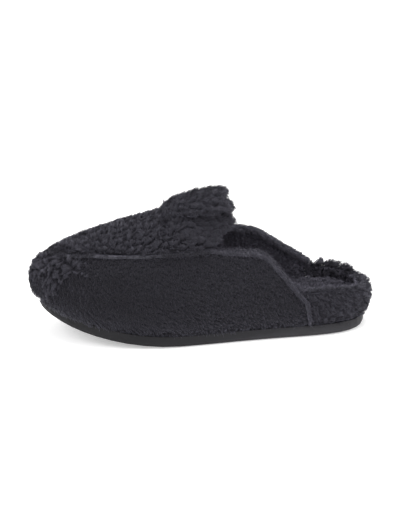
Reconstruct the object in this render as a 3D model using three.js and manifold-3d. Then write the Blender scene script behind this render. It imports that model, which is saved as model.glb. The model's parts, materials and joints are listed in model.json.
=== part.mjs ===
// A backless fluffy house slipper for the left foot, in millimetres.
// The toe points to -X, the outer (lateral) side of the foot is -Y, and +Z is up. The outsole
// rests on z = 0 and its forepart rolls up into a toe spring.
//
// Everything above the sole is cut from one closed last: `skin(d)` is the last's surface moved
// inwards by d, a layer of the upper is the space between two skins, and each panel is the part of
// a layer that a side-view pattern keeps. Everything below is a sheet in the sole's flat pattern,
// laid along the sole by `bend`.

import * as THREE from "three";
import { mergeVertices } from "three/addons/utils/BufferGeometryUtils.js";
import Module from "manifold-3d";

// ---- Driving dimensions (mm) ---------------------------------------------------------------

const LENGTH = 266; // toe to heel over the upper, the pile lying flat
const BALL_WIDTH = 94.5; // outsole at the ball of the foot
const HEEL_WIDTH = 70; // outsole at the heel
const GAP = 0.3; // clearance between pieces that touch

const SOLE_THICKNESS = 9;
const SOLE_EDGE_RADIUS = 3.5; // lower edge of the outsole
const SOLE_SETBACK = 6; // outsole end, inside the upper's own end
const ROLL_RADIUS = 298; // toe spring
const TREAD_DEPTH = 2;
const TREAD_WIDTH = 3;
const TREAD_PITCH = 15;
const TREAD_MARGIN = 8; // plain band round the tread
const BOARD_THICKNESS = 2;
const BOARD_INSET = 10.5; // board and footbed, inside the outsole's outline
const FOOTBED_FRONT = 4; // core thickness under the toes
const FOOTBED_HEEL = 9.5; // core thickness in the middle of the heel cup
const CUP_RISE = 8; // how far the core's edge climbs round the heel
const ARCH_RISE = 6; // how far it climbs under the arch
const COVER_THICKNESS = 3;

const PILE_LAYER = 4.2; // outer pile fabric
const FOAM_LAYER = 1.5;
const LINING_LAYER = 3.2;
const CUFF_THICKNESS = 4;
const HEEL_PAD_THICKNESS = 2.8;
const HEEL_RIM_SIDE = 37; // top of the heel roll above the floor, where the quarters meet it
const HEEL_RIM_BACK = 31.5; // and at the very back
const OVERHANG = 4.5; // the upper's side outside the outsole's edge
const BELLY_HEIGHT = 17; // widest level of the upper above the feather edge
const NOSE_BELLY_HEIGHT = 10.5; // the same at the tip of the toe
const BELLY_DROP = 34; // half height of the last below its widest level

const BINDING_HEIGHT = 2.4; // topline binding, above the quarter's cut edge
const BINDING_PROUD = 0.5; // and proud of the two faces that it covers
const PIPING_HEIGHT = 1.8;
const PIPING_PROUD = 0.9;
const PIPING_DEPTH = 2;
const TONGUE_GAP = 0.6; // running clearance along the tongue's fold line

// ---- Places along the slipper, as shares of LENGTH from the toe (0) to the heel (1) --------------

const ROLL_START = 0.465; // the flat tread ends and the toe spring starts
const NOTCH = 0.53; // where tongue, apron and quarter meet
const FOLD_TOP = 0.415; // fold line of the tongue, on the ridge
const PUFF_END = 0.125; // rear edge of the toe puff
const HEEL_TURN = 0.9; // the heel roll starts to fall to the back
const NOTCH_Z = 71.5;
const CORNER_RADIUS = 6;
// Topline of each quarter: its corner, the end of its slope to the heel, and its foot.
const LATERAL_TOPLINE = [[0.684, 65], [0.797, 28], [0.812, 0]];
const MEDIAL_TOPLINE = [[0.665, 67.5], [0.812, 40], [0.84, 0]];
const SEAM = [[0, 55], [0.04, 60.5], [0.11, 66], [0.2, 69], [0.33, 69.5], [NOTCH, NOTCH_Z]];
const TONGUE_REAR = [[NOTCH, NOTCH_Z - 1], [0.572, 83], [0.608, 91], [0.59, 101], [0.568, 125]];
const CUFF_EDGE = [[0.3, 92], [0.4, 95.5], [0.47, 97], [0.66, 100]];

// Ridge of the upper: [share of length, height above the floor].
const RIDGE = [
  [0, 61], [0.06, 67.5], [0.11, 73], [0.18, 80], [0.25, 86], [0.32, 91.5], [0.39, 96.5],
  [0.46, 103], [0.52, 107.5], [0.58, 108], [0.69, 98], [0.84, 72], [1, 58],
];
// Half width of the outsole before its ends are rounded, as a share of the ball's (toe to waist)
// and of the heel's (waist to heel), and the sideways drift of its middle line in mm.
const FORE_WIDTH = [[0, 0.82], [0.07, 0.87], [0.14, 0.925], [0.22, 0.975], [0.31, 1.01], [0.39, 1]];
const REAR_WIDTH = [[0.5, 1.22], [0.61, 1.09], [0.73, 1.03], [0.84, 1.04], [0.92, 1.09], [1, 1.14]];
const MIDDLE_LINE = [[0, 9], [0.06, 8], [0.14, 4.5], [0.22, 2], [0.31, -0.3], [0.39, -1.7],
  [0.5, -3.2], [0.61, -3], [0.73, -1.7], [1, 0]];
const TOE_BLUNTNESS = 5; // exponents of the rounded ends, in plan
const HEEL_BLUNTNESS = 6;
const NOSE_BLUNTNESS = 9; // and of the nose in side view
const SIDE_SQUARENESS = 0.92; // exponent of the cross-section: 1 is an ellipse, less is squarer

// ---- Solids ----------------------------------------------------------------------------------

const wasm = await Module();
wasm.setup();

/** A closed three.js geometry as a manifold-3d solid. */
function solidOf(geometry) {
  const bare = geometry.clone();
  bare.deleteAttribute("normal");
  bare.deleteAttribute("uv");
  const merged = mergeVertices(bare, 1e-4);
  return new wasm.Manifold(
    new wasm.Mesh({
      numProp: 3,
      vertProperties: merged.attributes.position.array,
      triVerts: new Uint32Array(merged.index.array),
    }),
  );
}

/** A manifold-3d solid as a three.js geometry. */
function geometryOf(solid) {
  const mesh = solid.getMesh();
  return new THREE.BufferGeometry()
    .setAttribute("position", new THREE.BufferAttribute(mesh.vertProperties, 3))
    .setIndex(new THREE.BufferAttribute(mesh.triVerts, 1));
}

/** The largest of the bodies that a cut has left, without the crumbs beside it. */
function largestOf(solid) {
  return solid.decompose().reduce((a, b) => (a.volume() > b.volume() ? a : b));
}

/** A box of unit size, cut into steps, whose every corner (u, v, w) goes to place(u, v, w). */
function mappedBox(steps, place) {
  const box = new THREE.BoxGeometry(1, 1, 1, ...steps).translate(0.5, 0.5, 0.5);
  const p = box.attributes.position;
  for (let i = 0; i < p.count; i++) p.setXYZ(i, ...place(p.getX(i), p.getY(i), p.getZ(i)));
  return solidOf(box);
}

/** A side-view outline of [x, z] corners as a prism between two widths. */
function sidePrism(corners, yLow, yHigh) {
  const shape = new THREE.Shape(corners.map(([x, z]) => new THREE.Vector2(x, z)));
  return solidOf(
    new THREE.ExtrudeGeometry(shape, { depth: yHigh - yLow, bevelEnabled: false })
      .rotateX(Math.PI / 2)
      .translate(0, yHigh, 0),
  );
}

// ---- Curves ----------------------------------------------------------------------------------

/** A smooth value through [place, value] pairs: a cubic with the chords' mean slopes. */
function through(pairs, at) {
  const last = pairs.length - 1;
  let k = 0;
  while (k < last - 1 && at > pairs[k + 1][0]) k++;
  const slope = (i) => (pairs[i + 1][1] - pairs[i][1]) / (pairs[i + 1][0] - pairs[i][0]);
  const tangent = (i) => {
    if (i === 0) return slope(0);
    return i === last ? slope(last - 1) : (slope(i - 1) + slope(i)) / 2;
  };
  const span = pairs[k + 1][0] - pairs[k][0];
  const t = Math.min(Math.max((at - pairs[k][0]) / span, 0), 1);
  return (
    pairs[k][1] * (1 + 2 * t) * (1 - t) ** 2 + tangent(k) * span * t * (1 - t) ** 2 +
    pairs[k + 1][1] * t * t * (3 - 2 * t) + tangent(k + 1) * span * t * t * (t - 1)
  );
}

const xAt = (share) => (share - 0.5) * LENGTH;
const shareAt = (x) => x / LENGTH + 0.5;
/** How full a round end is at e, which runs from -1 at the toe to 1 at the heel. */
const fullness = (e, toe, heel) => Math.sqrt(1 - Math.abs(e) ** (e < 0 ? toe : heel));

/** Half width of the outsole along its flat pattern, before the ends are rounded. */
const WAIST = [FORE_WIDTH.at(-1)[0], REAR_WIDTH[0][0]];
function plainHalfWidth(share) {
  const fore = (BALL_WIDTH / 2) * through(FORE_WIDTH, share);
  const rear = (HEEL_WIDTH / 2) * through(REAR_WIDTH, share);
  const blend = THREE.MathUtils.smoothstep(share, ...WAIST);
  return fore * (1 - blend) + rear * blend;
}

// ---- The sole's flat pattern and its toe spring ----------------------------------------------------

const ROLL_X = xAt(ROLL_START);
const SOLE_HEEL = xAt(1) - SOLE_SETBACK;
// The flat pattern is longer than the rolled sole: its tip lies at the arc's own length.
const SOLE_TIP = ROLL_X - ROLL_RADIUS * Math.asin((ROLL_X - xAt(0) - SOLE_SETBACK) / ROLL_RADIUS);
const SOLE_MIDDLE = (SOLE_TIP + SOLE_HEEL) / 2;
const SOLE_HALF = (SOLE_HEEL - SOLE_TIP) / 2;

/** A point of the flat pattern (s, y) at height t above the tread, laid along the sole. */
function bend(s, y, t) {
  if (s >= ROLL_X) return [s, y, t];
  const turn = (ROLL_X - s) / ROLL_RADIUS;
  const radius = ROLL_RADIUS - t;
  return [ROLL_X - radius * Math.sin(turn), y, ROLL_RADIUS - radius * Math.cos(turn)];
}

/** Height of the sole's surface t above the tread, at x. */
function soleHeight(x, t) {
  const radius = ROLL_RADIUS - t;
  const ahead = Math.max(ROLL_X - x, 0);
  return ROLL_RADIUS - Math.sqrt(radius ** 2 - Math.min(ahead, radius * 0.9) ** 2);
}

/** How full the sole's rounded ends are at s. */
const endFullness = (s) => fullness((s - SOLE_MIDDLE) / SOLE_HALF, TOE_BLUNTNESS, HEEL_BLUNTNESS);

/** A point (s, y) of the flat pattern: u from toe to heel, across from -1 to 1, at an inset. */
function onPattern(u, across, inset) {
  const shortOfTip = 0.03;
  const e = -Math.cos(Math.PI * THREE.MathUtils.lerp(shortOfTip, 1 - shortOfTip, u));
  const s = SOLE_MIDDLE + e * (SOLE_HALF - inset);
  const share = THREE.MathUtils.clamp(shareAt(s), 0, 1);
  const half = (plainHalfWidth(share) - inset) * fullness(e, TOE_BLUNTNESS, HEEL_BLUNTNESS);
  return [s, through(MIDDLE_LINE, share) + half * across];
}

/** A sheet in the sole's pattern, inset from its outline. low and high give its two faces as
 *  heights above the tread at (s, across). */
function soleSheet(inset, low, high, steps) {
  return mappedBox(steps, (u, v, w) => {
    const across = 2 * v - 1;
    const [s, y] = onPattern(u, across, inset);
    return bend(s, y, THREE.MathUtils.lerp(low(s, across), high(s, across), w));
  });
}

/** Everything under the surface t above the tread, far out on every side. */
function under(t) {
  const reach = 90;
  return mappedBox([24, 1, 1], (u, v, w) =>
    bend(
      THREE.MathUtils.lerp(SOLE_TIP - 25, SOLE_HEEL + reach, u),
      (2 * v - 1) * reach,
      THREE.MathUtils.lerp(-reach, t, w),
    ),
  );
}

// ---- The last ----------------------------------------------------------------------------------

const FEATHER = SOLE_THICKNESS + GAP; // where the upper stands on the outsole
const ROUND = 24; // facets round the last
const ALONG = 26; // and along it

/** The last's outer surface: a sphere with its poles at toe and heel, pulled to shape. */
function lastGeometry() {
  const ball = new THREE.SphereGeometry(1, ROUND, ALONG).rotateZ(Math.PI / 2);
  const p = ball.attributes.position;
  for (let i = 0; i < p.count; i++) {
    const e = THREE.MathUtils.clamp(p.getX(i), -1, 1);
    const x = (e * LENGTH) / 2;
    const share = shareAt(x);
    const angle = Math.atan2(p.getZ(i), p.getY(i));
    const rise = THREE.MathUtils.smoothstep(share, 0, 0.25);
    const belly = THREE.MathUtils.lerp(NOSE_BELLY_HEIGHT, BELLY_HEIGHT, rise);
    const level = soleHeight(x, FEATHER) + belly;
    const up = through(RIDGE, share) - level;
    const height = Math.sin(angle) > 0 ? up : BELLY_DROP;
    const half = plainHalfWidth(share) + OVERHANG;
    const sides = Math.sign(Math.cos(angle)) * Math.abs(Math.cos(angle)) ** SIDE_SQUARENESS;
    p.setXYZ(
      i,
      x,
      through(MIDDLE_LINE, share) + half * fullness(e, TOE_BLUNTNESS, HEEL_BLUNTNESS) * sides,
      level + height * fullness(e, NOSE_BLUNTNESS, HEEL_BLUNTNESS) * Math.sin(angle),
    );
  }
  ball.deleteAttribute("normal");
  ball.deleteAttribute("uv");
  const merged = mergeVertices(ball, 1e-3);
  merged.computeVertexNormals();
  return merged;
}

const LAST = lastGeometry();

/** The last's surface moved inwards by depth, as a solid. */
function skin(depth) {
  const moved = LAST.clone();
  const p = moved.attributes.position;
  const n = LAST.attributes.normal;
  for (let i = 0; i < p.count; i++)
    p.setXYZ(
      i,
      p.getX(i) - depth * n.getX(i),
      p.getY(i) - depth * n.getY(i),
      p.getZ(i) - depth * n.getZ(i),
    );
  return solidOf(moved);
}

/** The space between two skins, above the surface that the upper stands on. */
const BELOW_FEATHER = under(FEATHER);
const layer = (outer, inner) => skin(outer).subtract(skin(inner)).subtract(BELOW_FEATHER);

// ---- Side-view patterns ----------------------------------------------------------------------------

const FAR = 400;
const WIDE = 120;
const BOTH = [-WIDE, WIDE];
const NOSE_Y = MIDDLE_LINE[0][1];

const placed = (line) => line.map(([share, z]) => [xAt(share), z]);

/** A line of [x, z] points moved to its left, which is up for a line that runs to the heel. */
function beside(line, distance) {
  const points = line.map(([x, z]) => new THREE.Vector2(x, z));
  const normals = points.slice(1).map((q, i) => {
    const way = q.clone().sub(points[i]).normalize();
    return new THREE.Vector2(-way.y, way.x);
  });
  return points.map((q, i) => {
    const before = normals[Math.max(i - 1, 0)];
    const after = normals[Math.min(i, normals.length - 1)];
    const mitre = before.clone().add(after).multiplyScalar(distance / (1 + before.dot(after)));
    return [q.x + mitre.x, q.y + mitre.y];
  });
}

/** A quarter's upper edge: seam from the nose to the notch, topline, rounded corner, rear edge. */
function quarterEdge(topline) {
  const [corner, end, foot] = placed(topline).map(([x, z]) => new THREE.Vector2(x, z));
  const notch = new THREE.Vector2(xAt(NOTCH), NOTCH_Z);
  const before = corner.clone().add(notch.clone().sub(corner).setLength(CORNER_RADIUS));
  const after = corner.clone().add(end.clone().sub(corner).setLength(CORNER_RADIUS));
  const turn = new THREE.QuadraticBezierCurve(before, corner, after).getPoints(3);
  const rear = [...turn, end, foot].map((q) => [q.x, q.y]);
  return [[-FAR, SEAM[0][1]], ...placed(SEAM), ...rear, [foot.x, -FAR]];
}

const LATERAL = { across: [-WIDE, NOSE_Y - GAP / 2], edge: quarterEdge(LATERAL_TOPLINE) };
const MEDIAL = { across: [NOSE_Y + GAP / 2, WIDE], edge: quarterEdge(MEDIAL_TOPLINE) };
const SIDES = [LATERAL, MEDIAL];

/** Prisms of all that lies above or below a line which runs from front to back. */
const above = (line, across = BOTH) => sidePrism([...line, [FAR, FAR], [-FAR, FAR]], ...across);
const below = (line, across = BOTH) => sidePrism([...line, [-FAR, -FAR]], ...across);
const underEdge = (side, distance) => below(beside(side.edge, distance), side.across);
const ahead = (x) => sidePrism([[-FAR, -FAR], [x, -FAR], [x, FAR], [-FAR, FAR]], ...BOTH);
const behind = (x) => sidePrism([[x, -FAR], [FAR, -FAR], [FAR, FAR], [x, FAR]], ...BOTH);

/** The fold line of the tongue from above the ridge down past the notch, moved to the rear. */
function foldLine(distance) {
  const top = [xAt(FOLD_TOP), through(RIDGE, FOLD_TOP)];
  const foot = [xAt(NOTCH), NOTCH_Z];
  const reach = 3;
  const end = (from, to) => from.map((q, i) => to[i] + (to[i] - q) * reach);
  return beside([end(foot, top), end(top, foot)], distance);
}

/** What is left of a solid above both quarters' edges and behind them, by `distance`. */
const offEdges = (solid, distance) =>
  SIDES.reduce((rest, side) => rest.subtract(underEdge(side, distance)), solid);

/** Under the heel roll's rim, behind the quarters' rear edges by `distance`. */
function heelZone(distance, drop) {
  const rim = [[-FAR, HEEL_RIM_SIDE], [xAt(HEEL_TURN), HEEL_RIM_SIDE], [xAt(1), HEEL_RIM_BACK]];
  const sunk = [...beside(rim, -drop), [FAR, HEEL_RIM_BACK - drop], [FAR, -FAR]];
  return offEdges(below(sunk), distance);
}

// ---- Pieces ----------------------------------------------------------------------------------

const DEPTH = {
  pile: [0, PILE_LAYER],
  foam: [PILE_LAYER + GAP, PILE_LAYER + GAP + FOAM_LAYER],
  lining: [PILE_LAYER + FOAM_LAYER + 2 * GAP, PILE_LAYER + FOAM_LAYER + LINING_LAYER + 2 * GAP],
};
const INSIDE = DEPTH.lining[1]; // depth of the upper's inner face
const OVER_PIPING = GAP + PIPING_HEIGHT + GAP;
const OVER_BINDING = GAP + BINDING_HEIGHT + GAP;

const materials = {
  pile: new THREE.MeshStandardMaterial({ color: 0x33323a, roughness: 1 }),
  lining: new THREE.MeshStandardMaterial({ color: 0x2f2e34, roughness: 1 }),
  binding: new THREE.MeshStandardMaterial({ color: 0x47464e, roughness: 0.95 }),
  foam: new THREE.MeshStandardMaterial({ color: 0xb8b4a8, roughness: 0.9 }),
  puff: new THREE.MeshStandardMaterial({ color: 0xd8d2c0, roughness: 0.6 }),
  board: new THREE.MeshStandardMaterial({ color: 0x8a7458, roughness: 0.85 }),
  core: new THREE.MeshStandardMaterial({ color: 0x9a7448, roughness: 0.9 }),
  rubber: new THREE.MeshStandardMaterial({ color: 0x2c2b2e, roughness: 0.7 }),
};

/** A panel of the upper: what a side-view pattern keeps of a layer. */
const panel = (depths, pattern) => largestOf(layer(...depths).intersect(pattern));

/** The outsole: rounded lower edge and wavy cross grooves in the tread. */
function outsole() {
  const radius = SOLE_EDGE_RADIUS;
  const levels = [0, 0.3 * radius, radius, SOLE_THICKNESS];
  const inset = (t) => radius - Math.sqrt(radius ** 2 - Math.max(radius - t, 0) ** 2);
  let solid = mappedBox([26, 4, levels.length - 1], (u, v, w) => {
    const t = levels[Math.round(w * (levels.length - 1))];
    return bend(...onPattern(u, 2 * v - 1, inset(t)), t);
  });
  const last = SOLE_HEEL - TREAD_MARGIN - TREAD_PITCH / 2;
  for (let s = SOLE_TIP + TREAD_MARGIN + TREAD_PITCH / 2; s < last; s += TREAD_PITCH)
    solid = solid.subtract(treadGroove(s));
  return solid;
}

/** One wavy groove across the tread at s, which stops short of the sole's edge. */
function treadGroove(s) {
  const waves = 2;
  const stepsPerWave = 4;
  const share = shareAt(s);
  const half = plainHalfWidth(share) * endFullness(s) - TREAD_MARGIN;
  return mappedBox([1, waves * stepsPerWave, 1], (u, v, w) =>
    bend(
      s + TREAD_WIDTH * (u + Math.sin(v * waves * 2 * Math.PI)),
      through(MIDDLE_LINE, share) + half * (2 * v - 1),
      THREE.MathUtils.lerp(-5, TREAD_DEPTH, w),
    ),
  );
}

const BOARD_LOW = FEATHER;
const CORE_LOW = BOARD_LOW + BOARD_THICKNESS + GAP;

/** Top of the footbed's core above the tread: a heel cup, an arch and a thin forepart. */
function coreTop(s, across) {
  const share = shareAt(s);
  const heel = THREE.MathUtils.smoothstep(share, 0.4, 0.72);
  const cup = THREE.MathUtils.smoothstep(share, 0.6, 0.86) * CUP_RISE * across ** 4;
  const nearArch = Math.exp(-(((share - 0.6) / 0.11) ** 2));
  const arch = nearArch * ARCH_RISE * Math.max(across, 0) ** 3;
  return CORE_LOW + THREE.MathUtils.lerp(FOOTBED_FRONT, FOOTBED_HEEL, heel) + cup + arch;
}

/** The footbed from well under the board up to `rise` above the core's top. */
const bed = (rise) =>
  soleSheet(BOARD_INSET, () => BOARD_LOW - 5, (s, across) => coreTop(s, across) + rise, [24, 8, 1]);

/** The heel roll: pile outside, over the rim and down inside, round its foam pad. */
function heelRoll() {
  const slot = layer(PILE_LAYER, PILE_LAYER + HEEL_PAD_THICKNESS + 2 * GAP)
    .intersect(heelZone(0, PILE_LAYER));
  return panel([0, INSIDE], heelZone(OVER_BINDING, 0)).subtract(slot);
}

/** The foam pad in the heel roll. */
function heelPad() {
  const depths = [PILE_LAYER + GAP, PILE_LAYER + GAP + HEEL_PAD_THICKNESS];
  return panel(depths, heelZone(OVER_BINDING + GAP, PILE_LAYER + GAP));
}

/** A strip that lies on a quarter's upper edge. */
const strip = (height, { edge, across }) =>
  sidePrism([...beside(edge, GAP + height), ...beside(edge, GAP).reverse()], ...across);

/** The binding along a quarter's topline, over the cut edges of all three layers. */
function toplineBinding(side) {
  const part = strip(BINDING_HEIGHT, side).intersect(behind(xAt(NOTCH) + GAP));
  return panel([-BINDING_PROUD, INSIDE + BINDING_PROUD], part);
}

/** The piping in the seam between the apron and a quarter. */
function seamPiping(side) {
  const part = strip(PIPING_HEIGHT, side).intersect(ahead(xAt(NOTCH)));
  return panel([-PIPING_PROUD, PIPING_DEPTH], part);
}

/** The tongue's pattern: behind its fold line, over the bindings, up to its rear edge. */
function tonguePattern() {
  const rear = placed(TONGUE_REAR).reverse();
  const front = below([[-FAR, FAR], ...rear, [rear.at(-1)[0], -FAR]]);
  return offEdges(front.subtract(below(foldLine(TONGUE_GAP / 2))), OVER_BINDING + TONGUE_GAP);
}

function pieces() {
  const footSpace = skin(INSIDE + BINDING_PROUD + GAP);
  const onBoard = under(BOARD_LOW + BOARD_THICKNESS + GAP);
  const board = under(BOARD_LOW + BOARD_THICKNESS).subtract(BELOW_FEATHER);
  const plan = soleSheet(BOARD_INSET + GAP, () => -5, () => 60, [24, 1, 1]);
  const behindPuff = behind(xAt(PUFF_END) + GAP);
  const wholeApron = below(foldLine(-TONGUE_GAP / 2));
  const apron = offEdges(wholeApron, OVER_PIPING);
  const tongue = tonguePattern();
  const cuffDepths = [-CUFF_THICKNESS - GAP, -GAP];
  return {
    outsole: ["rubber", outsole()],
    insole_board: ["board", largestOf(bed(0).intersect(board).intersect(footSpace))],
    footbed_core: ["core", largestOf(bed(0).subtract(onBoard).intersect(footSpace))],
    footbed_cover: [
      "lining",
      largestOf(bed(GAP + COVER_THICKNESS).subtract(bed(GAP)).intersect(plan).intersect(footSpace)),
    ],
    heel_wrap: ["pile", heelRoll()],
    heel_pad: ["foam", heelPad()],
    apron_shell: ["pile", panel(DEPTH.pile, apron)],
    apron_foam: ["foam", panel(DEPTH.foam, apron.intersect(behindPuff))],
    apron_lining: ["lining", panel(DEPTH.lining, apron)],
    toe_puff: ["puff", panel(DEPTH.foam, ahead(xAt(PUFF_END)))],
    tongue_shell: ["pile", panel(DEPTH.pile, tongue)],
    tongue_foam: ["foam", panel(DEPTH.foam, tongue)],
    tongue_lining: ["lining", panel(DEPTH.lining, tongue)],
    tongue_cuff: ["pile", panel(cuffDepths, tongue.intersect(above(placed(CUFF_EDGE))))],
    quarter_lateral: ["pile", panel(DEPTH.pile, underEdge(LATERAL, 0))],
    quarter_medial: ["pile", panel(DEPTH.pile, underEdge(MEDIAL, 0))],
    quarter_foam_lateral: ["foam", panel(DEPTH.foam, underEdge(LATERAL, 0).intersect(behindPuff))],
    quarter_foam_medial: ["foam", panel(DEPTH.foam, underEdge(MEDIAL, 0).intersect(behindPuff))],
    quarter_lining_lateral: ["lining", panel(DEPTH.lining, underEdge(LATERAL, 0))],
    quarter_lining_medial: ["lining", panel(DEPTH.lining, underEdge(MEDIAL, 0))],
    topline_binding_lateral: ["binding", toplineBinding(LATERAL)],
    topline_binding_medial: ["binding", toplineBinding(MEDIAL)],
    seam_piping_lateral: ["binding", seamPiping(LATERAL)],
    seam_piping_medial: ["binding", seamPiping(MEDIAL)],
  };
}

const slipper = new THREE.Group();
for (const [name, [material, solid]] of Object.entries(pieces())) {
  const mesh = new THREE.Mesh(geometryOf(solid), materials[material].clone());
  mesh.name = name;
  slipper.add(mesh);
}
// The origin is the middle of the whole slipper's box, on the floor.
const middle = new THREE.Box3().setFromObject(slipper).getCenter(new THREE.Vector3());
slipper.position.set(-middle.x, -middle.y, 0);

export default slipper;
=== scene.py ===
"""A fluffy backless house slipper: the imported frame, dressed in its fabrics, its fur and its rubber sole."""

import json
import math
import random

import bmesh
import bpy
import numpy as np
from mathutils import Matrix, Vector
from mathutils.bvhtree import BVHTree

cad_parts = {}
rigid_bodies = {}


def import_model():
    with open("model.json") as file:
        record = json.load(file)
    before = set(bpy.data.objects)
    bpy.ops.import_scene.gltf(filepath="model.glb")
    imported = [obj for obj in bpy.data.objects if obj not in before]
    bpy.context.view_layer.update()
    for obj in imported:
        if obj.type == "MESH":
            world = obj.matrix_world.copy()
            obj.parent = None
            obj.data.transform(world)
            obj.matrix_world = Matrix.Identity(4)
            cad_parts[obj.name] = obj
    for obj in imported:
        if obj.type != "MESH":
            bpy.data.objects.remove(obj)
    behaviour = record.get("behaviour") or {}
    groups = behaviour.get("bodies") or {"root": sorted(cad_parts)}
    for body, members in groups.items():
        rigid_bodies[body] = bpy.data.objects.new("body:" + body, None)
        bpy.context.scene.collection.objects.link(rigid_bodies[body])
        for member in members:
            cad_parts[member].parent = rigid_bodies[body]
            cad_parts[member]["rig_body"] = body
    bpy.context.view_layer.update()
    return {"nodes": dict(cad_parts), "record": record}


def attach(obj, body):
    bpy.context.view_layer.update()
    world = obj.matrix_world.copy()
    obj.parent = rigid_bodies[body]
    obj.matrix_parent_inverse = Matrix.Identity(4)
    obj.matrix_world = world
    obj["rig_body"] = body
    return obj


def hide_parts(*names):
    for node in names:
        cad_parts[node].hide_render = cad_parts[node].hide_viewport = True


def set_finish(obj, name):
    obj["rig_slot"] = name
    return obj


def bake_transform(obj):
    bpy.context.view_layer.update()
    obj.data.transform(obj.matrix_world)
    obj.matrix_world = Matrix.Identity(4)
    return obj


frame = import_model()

MM = 0.001

# ---------------------------------------------------------------- camera, floor and lights

VIEW_HEIGHT = math.radians(17)
VIEW_TURN = math.radians(2.5)
VIEW_DISTANCE = 1.2
VIEW_AIM = Vector((0.00111, 0.00043, 0.0514))
LENS = 105.5


def set_camera():
    toward = Vector((0, math.cos(VIEW_HEIGHT), -math.sin(VIEW_HEIGHT)))
    lens = bpy.data.cameras.new("camera")
    lens.lens = LENS
    lens.sensor_width = 36
    lens.clip_start = 0.01
    camera = bpy.data.objects.new("camera", lens)
    turned = toward.to_track_quat("-Z", "Y").to_matrix().to_4x4()
    turned = turned @ Matrix.Rotation(-VIEW_TURN, 4, "Z")
    camera.matrix_world = Matrix.Translation(VIEW_AIM - toward * VIEW_DISTANCE) @ turned
    bpy.context.scene.collection.objects.link(camera)
    bpy.context.scene.camera = camera


def soft_light(name, place, size, watts, aim=(0, 0, 0.05)):
    lamp = bpy.data.lights.new(name, "AREA")
    lamp.shape = "DISK"
    lamp.size = size
    lamp.energy = watts
    light = bpy.data.objects.new(name, lamp)
    toward = Vector(aim) - Vector(place)
    light.matrix_world = Matrix.Translation(place) @ toward.to_track_quat("-Z", "Y").to_matrix().to_4x4()
    bpy.context.scene.collection.objects.link(light)


# ---------------------------------------------------------------- node trees


def add(tree, kind, settings=None, plugs=None):
    """A node with its settings, and what each of its sockets holds or is fed from."""
    node = tree.nodes.new(kind)
    for key, value in (settings or {}).items():
        setattr(node, key, value)
    for key, value in (plugs or {}).items():
        if isinstance(value, bpy.types.NodeSocket):
            tree.links.new(value, node.inputs[key])
        else:
            node.inputs[key].default_value = value
    return node


def ramp(tree, factor, stops):
    """Colours along the factor, from (place, colour) stops."""
    node = add(tree, "ShaderNodeValToRGB", None, {"Fac": factor})
    elements = node.color_ramp.elements
    while len(elements) < len(stops):
        elements.new(0.5)
    for element, (place, colour) in zip(elements, stops):
        element.position = place
        element.color = (*colour, 1)
    return node.outputs["Color"]


def new_finish(name, roughness, sheen=0.0, specular=0.5):
    """A finish, with its node tree and its shader."""
    finish = bpy.data.materials.new(name)
    finish.use_nodes = True
    tree = finish.node_tree
    shader = tree.nodes["Principled BSDF"]
    shader.inputs["Roughness"].default_value = roughness
    shader.inputs["Sheen Weight"].default_value = sheen
    shader.inputs["Sheen Roughness"].default_value = 0.45
    shader.inputs["Sheen Tint"].default_value = SHEEN_TINT
    shader.inputs["Specular IOR Level"].default_value = specular
    return finish, tree, shader


def place_on(tree, scale=(1, 1, 1)):
    """Object coordinates, stretched by scale."""
    coordinates = add(tree, "ShaderNodeTexCoord")
    mapping = add(tree, "ShaderNodeMapping", None, {"Vector": coordinates.outputs["Object"], "Scale": scale})
    return mapping.outputs["Vector"]


def noise(tree, vector, scale, detail=4.0, rough=0.6):
    plugs = {"Vector": vector, "Scale": scale, "Detail": detail, "Roughness": rough}
    return add(tree, "ShaderNodeTexNoise", None, plugs).outputs["Fac"]


def cells(tree, vector, scale):
    plugs = {"Vector": vector, "Scale": scale}
    return add(tree, "ShaderNodeTexVoronoi", {"feature": "F1"}, plugs).outputs["Distance"]


def bands(tree, vector, scale, direction="X", bend=0.0):
    settings = {"wave_type": "BANDS", "bands_direction": direction}
    plugs = {"Vector": vector, "Scale": scale, "Distortion": bend}
    return add(tree, "ShaderNodeTexWave", settings, plugs).outputs["Fac"]


def math_node(tree, how, first, second):
    return add(tree, "ShaderNodeMath", {"operation": how}, {0: first, 1: second}).outputs[0]


def bump(tree, shader, height, depth, strength=1.0):
    """Gives the shader a relief, in which depth is how far a height of 1 stands out."""
    plugs = {"Height": height, "Distance": depth, "Strength": strength}
    tree.links.new(add(tree, "ShaderNodeBump", None, plugs).outputs["Normal"], shader.inputs["Normal"])


# ---------------------------------------------------------------- finishes

FUR_DARK = (0.0105, 0.0100, 0.0128)
FUR_MIDDLE = (0.0150, 0.0142, 0.0182)
FUR_LIGHT = (0.0260, 0.0248, 0.0312)
SHEEN_TINT = (0.80, 0.79, 1.0, 1.0)


def fur_finish(name, lift=1.0, contrast=0.3):
    """Dyed fibres: darkest at the root, paler at the tip, and each lock a shade of its own."""
    finish, tree, shader = new_finish(name, 0.6, 0.12, 0.15)
    place = add(tree, "ShaderNodeUVMap", {"uv_map": "OFBake"}).outputs["UV"]
    split = add(tree, "ShaderNodeSeparateXYZ", None, {"Vector": place})
    plugs = {"Vector": place, "Scale": 60.0, "Detail": 0.0}
    lock = add(tree, "ShaderNodeTexNoise", {"noise_dimensions": "2D"}, plugs).outputs["Fac"]
    along = math_node(tree, "POWER", split.outputs["Y"], 1.3)
    shade = math_node(tree, "MULTIPLY_ADD", lock, contrast)
    shade.node.inputs[2].default_value = -contrast / 2
    shade = math_node(tree, "ADD", shade, along)
    stops = [
        (0.05, [c * lift for c in FUR_DARK]),
        (0.5, [c * lift for c in FUR_MIDDLE]),
        (0.95, [c * lift for c in FUR_LIGHT]),
    ]
    tree.links.new(ramp(tree, shade, stops), shader.inputs["Base Color"])
    return finish


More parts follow.
